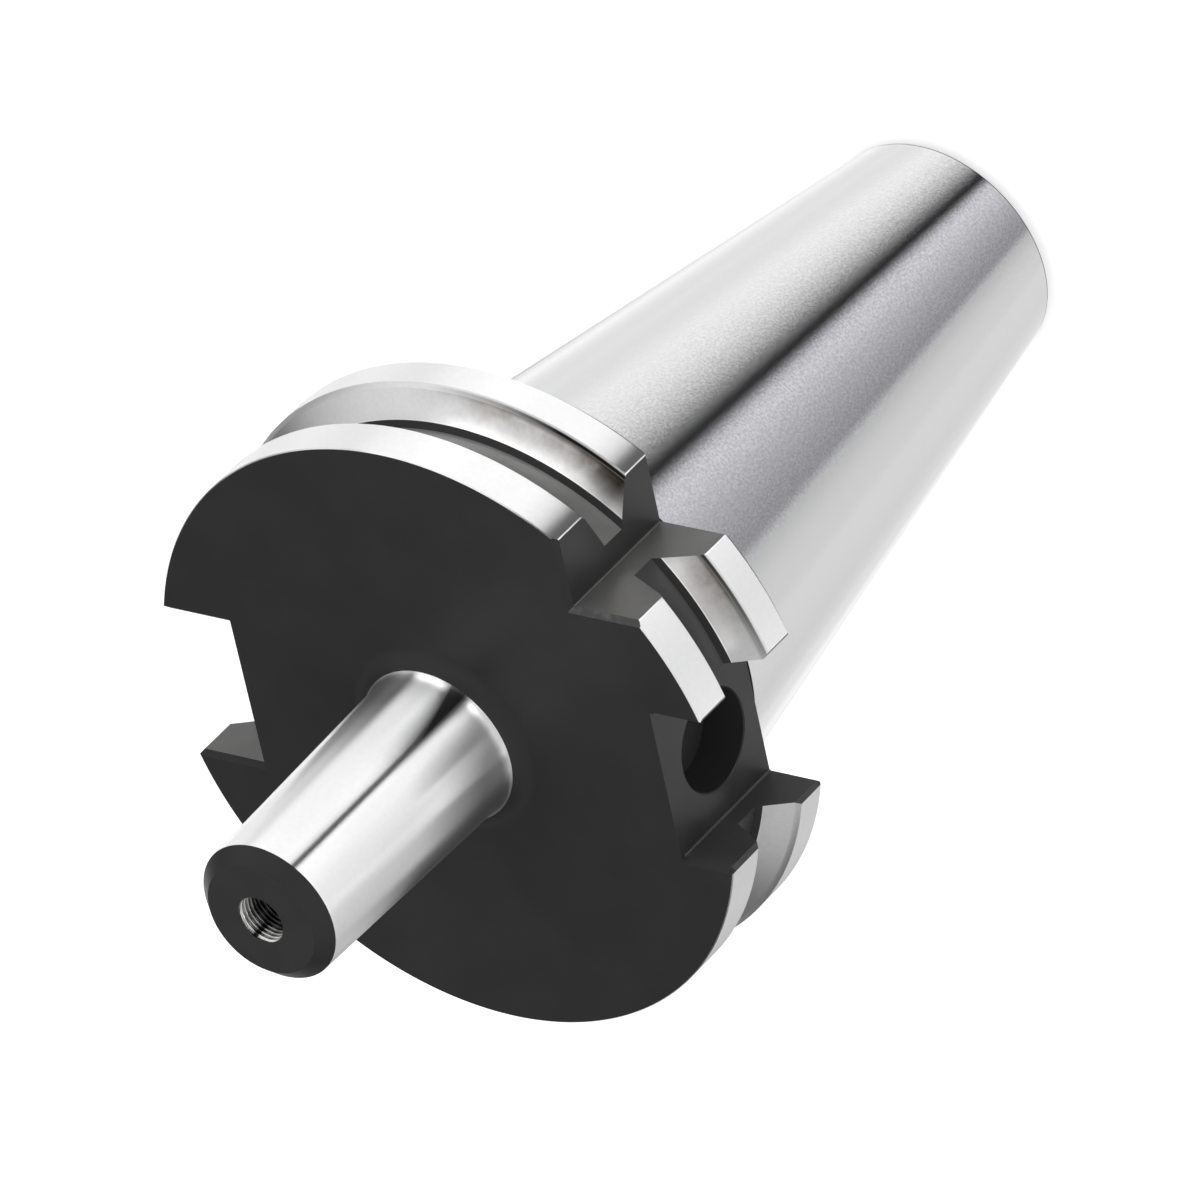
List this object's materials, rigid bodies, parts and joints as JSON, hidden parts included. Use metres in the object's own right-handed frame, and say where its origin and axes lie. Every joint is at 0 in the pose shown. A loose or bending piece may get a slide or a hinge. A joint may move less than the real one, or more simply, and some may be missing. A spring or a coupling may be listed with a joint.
{
  "type": "drill chuck arbor",
  "caption": "Steep-taper spindle arbor with a grooved and slotted flange and a short cone that carries a drill chuck.",
  "frame": {"origin": "centre of the steep taper's gauge plane, where the taper is 44.45 mm across", "axes": "+Z along the axis towards the chuck cone; +X to the drive slot that holds the data chip hole; the orientation notch lies half way between +X and +Y"},
  "size_m": [0.0612, 0.0636, 0.1178],
  "materials": {
    "steel": "ground on the shank, the cone and the flange rims, black oxide elsewhere"
  },
  "bodies": {
    "root": {"arbor": "steel"}
  },
  "joints": []
}
